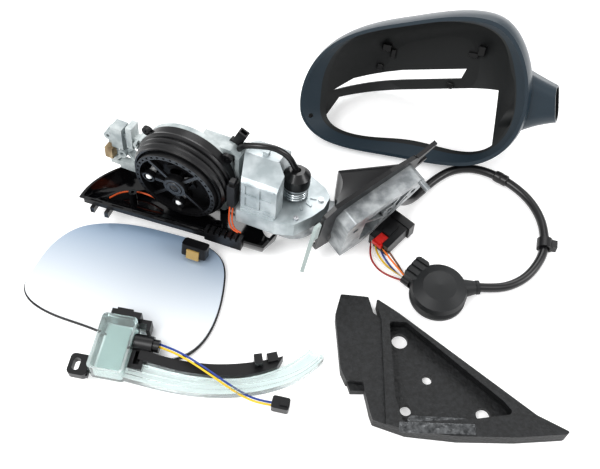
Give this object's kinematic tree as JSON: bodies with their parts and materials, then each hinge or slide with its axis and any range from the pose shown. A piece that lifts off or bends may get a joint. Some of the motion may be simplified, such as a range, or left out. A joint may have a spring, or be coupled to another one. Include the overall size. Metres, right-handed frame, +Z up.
{
  "type": "car door mirror, taken apart",
  "caption": "Powered folding car door mirror laid out in pieces: mechanism on its foot, housing shell, glass, turn lamp, gasket and wiring harness.",
  "frame": {"origin": "on the bench, under the middle of the rigid pieces as they lie", "axes": "+X to the right of the bench, +Y away from its near edge, +Z up"},
  "size_m": [0.5026, 0.4113, 0.1361],
  "materials": {
    "amber_lens": "clear",
    "black_rubber": "satin",
    "board_green": "satin",
    "brass": "machined",
    "case_silver": "satin cast",
    "cast_silver": "cast",
    "charcoal_rubber": "matte",
    "clear_lens": "clear",
    "foam_charcoal": "pebbled foam",
    "foil": "matt",
    "frame_grey": "satin",
    "gloss_black": "gloss",
    "grained_black": "matte",
    "lip_grey": "satin",
    "lock_red": "satin",
    "mirror_face": "mirror",
    "painted_primer": "satin, dark slate blue-grey",
    "satin_black": "satin",
    "steel": "machined",
    "tan_foam": "foam",
    "white_nylon": "satin",
    "wire_blue": "satin",
    "wire_mixed": "satin",
    "wire_yellow": "satin",
    "zinc_spring": "bright zinc"
  },
  "bodies": {
    "bench_and_foot": {"foot_bracket": "cast_silver", "foot_cover": "satin_black", "cover_lip": "lip_grey", "base_seal": "grained_black", "pivot_post": "steel", "detent_ring": "steel", "fold_ring_gear": "steel", "fold_spring": "zinc_spring", "spring_washer": "steel", "housing_shell": "painted_primer", "mirror_glass": "mirror_face", "heater_foil": "foil", "glass_backing": "grained_black", "lamp_lens": "clear_lens", "lamp_backing": "satin_black", "lamp_block_cap": "satin_black", "lamp_socket": "satin_black", "lamp_led_board": "board_green", "lamp_wire_blue": "wire_blue", "lamp_wire_yellow": "wire_yellow", "lamp_plug": "satin_black", "harness_cable": "black_rubber", "cable_clip": "satin_black", "door_grommet": "charcoal_rubber", "harness_sleeve": "black_rubber", "harness_wires": "wire_mixed", "door_connector": "satin_black", "door_gasket": "foam_charcoal"},
    "head": {"motor_case_base": "case_silver", "fold_motor_case": "case_silver", "case_screws": "steel", "fold_motor": "steel", "cable_cap": "black_rubber", "lower_cover": "gloss_black", "cover_trim": "satin_black", "cable_guide": "satin_black", "entry_lamp_socket": "satin_black", "entry_lamp_lens": "amber_lens", "actuator_housing": "satin_black", "dust_bellows": "black_rubber", "gearbox_cover": "satin_black", "pan_motor": "steel", "tilt_motor": "steel", "head_frame": "frame_grey", "foam_pads": "tan_foam", "heater_plug": "satin_black", "head_cable": "black_rubber", "head_connector": "satin_black", "head_wires": "wire_mixed"},
    "gimbal": {"gimbal": "white_nylon"},
    "carrier": {"glass_carrier": "satin_black"},
    "pan_plunger": {"pan_plunger": "white_nylon"},
    "tilt_plunger": {"tilt_plunger": "white_nylon"},
    "pan_nut": {"pan_nut": "white_nylon"},
    "tilt_nut": {"tilt_nut": "white_nylon"},
    "pan_worm": {"pan_worm": "brass"},
    "tilt_worm": {"tilt_worm": "brass"},
    "fold_worm": {"fold_worm": "brass"},
    "cross_shaft": {"cross_shaft": "white_nylon"},
    "connector_lock": {"connector_lock": "lock_red"}
  },
  "joints": [
    {"name": "head_fold", "type": "hinge", "parent": "bench_and_foot", "child": "head", "pos_m": [-0.00534, 0.01094, 0.03854], "axis": [0.0678, 0.1598, 0.9848], "range_deg": [0, 38]},
    {"name": "glass_pan", "type": "hinge", "parent": "head", "child": "gimbal", "pos_m": [-0.11117, 0.00986, 0.06327], "axis": [0.0136, 0.0321, 0.9994], "range_deg": [-7.5, 7.5]},
    {"name": "glass_tilt", "type": "hinge", "parent": "gimbal", "child": "carrier", "pos_m": [-0.11117, 0.00986, 0.06327], "axis": [0.9205, -0.3907, 0], "range_deg": [-7.5, 7.5]},
    {"name": "pan_plunger_slide", "type": "slide", "parent": "head", "child": "pan_plunger", "axis": [-0.3905, -0.9199, 0.0349], "range_m": [-0.0036, 0.0036]},
    {"name": "tilt_plunger_slide", "type": "slide", "parent": "head", "child": "tilt_plunger", "axis": [-0.3905, -0.9199, 0.0349], "range_m": [-0.0036, 0.0036]},
    {"name": "pan_nut_spin", "type": "hinge", "parent": "head", "child": "pan_nut", "pos_m": [-0.12861, 0.03789, 0.06261], "axis": [-0.3905, -0.9199, 0.0349], "range_deg": [-108, 108]},
    {"name": "tilt_nut_spin", "type": "hinge", "parent": "head", "child": "tilt_nut", "pos_m": [-0.10409, 0.02654, 0.03762], "axis": [-0.3905, -0.9199, 0.0349], "range_deg": [-108, 108]},
    {"name": "pan_worm_spin", "type": "hinge", "parent": "head", "child": "pan_worm", "pos_m": [-0.12284, 0.03612, 0.07459], "axis": [0.9205, -0.3907, 0], "range_deg": [-1065, 1065]},
    {"name": "tilt_worm_spin", "type": "hinge", "parent": "head", "child": "tilt_worm", "pos_m": [-0.09297, 0.02203, 0.03762], "axis": [0.0136, 0.0321, 0.9994], "range_deg": [-1065, 1065]},
    {"name": "cross_shaft_spin", "type": "hinge", "parent": "head", "child": "cross_shaft", "pos_m": [-0.02041, 0.01715, 0.03756], "axis": [0.3848, 0.9065, -0.1736], "range_deg": [0, 571]},
    {"name": "fold_worm_spin", "type": "hinge", "parent": "head", "child": "fold_worm", "pos_m": [-0.02545, 0.02857, 0.03707], "axis": [0.0678, 0.1598, 0.9848], "range_deg": [0, 6845]},
    {"name": "connector_lock_slide", "type": "slide", "parent": "bench_and_foot", "child": "connector_lock", "axis": [-0.682, -0.7314, 0], "range_m": [0, 0.0035]}
  ],
  "couplings": [
    {"joint": "pan_plunger_slide", "follows": "glass_pan", "m_per_rad": 0.027},
    {"joint": "pan_nut_spin", "follows": "glass_pan", "ratio": 14.137},
    {"joint": "pan_worm_spin", "follows": "glass_pan", "ratio": 141.37},
    {"joint": "tilt_plunger_slide", "follows": "glass_tilt", "m_per_rad": -0.025},
    {"joint": "tilt_nut_spin", "follows": "glass_tilt", "ratio": -13.09},
    {"joint": "tilt_worm_spin", "follows": "glass_tilt", "ratio": -130.9},
    {"joint": "cross_shaft_spin", "follows": "head_fold", "ratio": 15},
    {"joint": "fold_worm_spin", "follows": "head_fold", "ratio": 180}
  ]
}
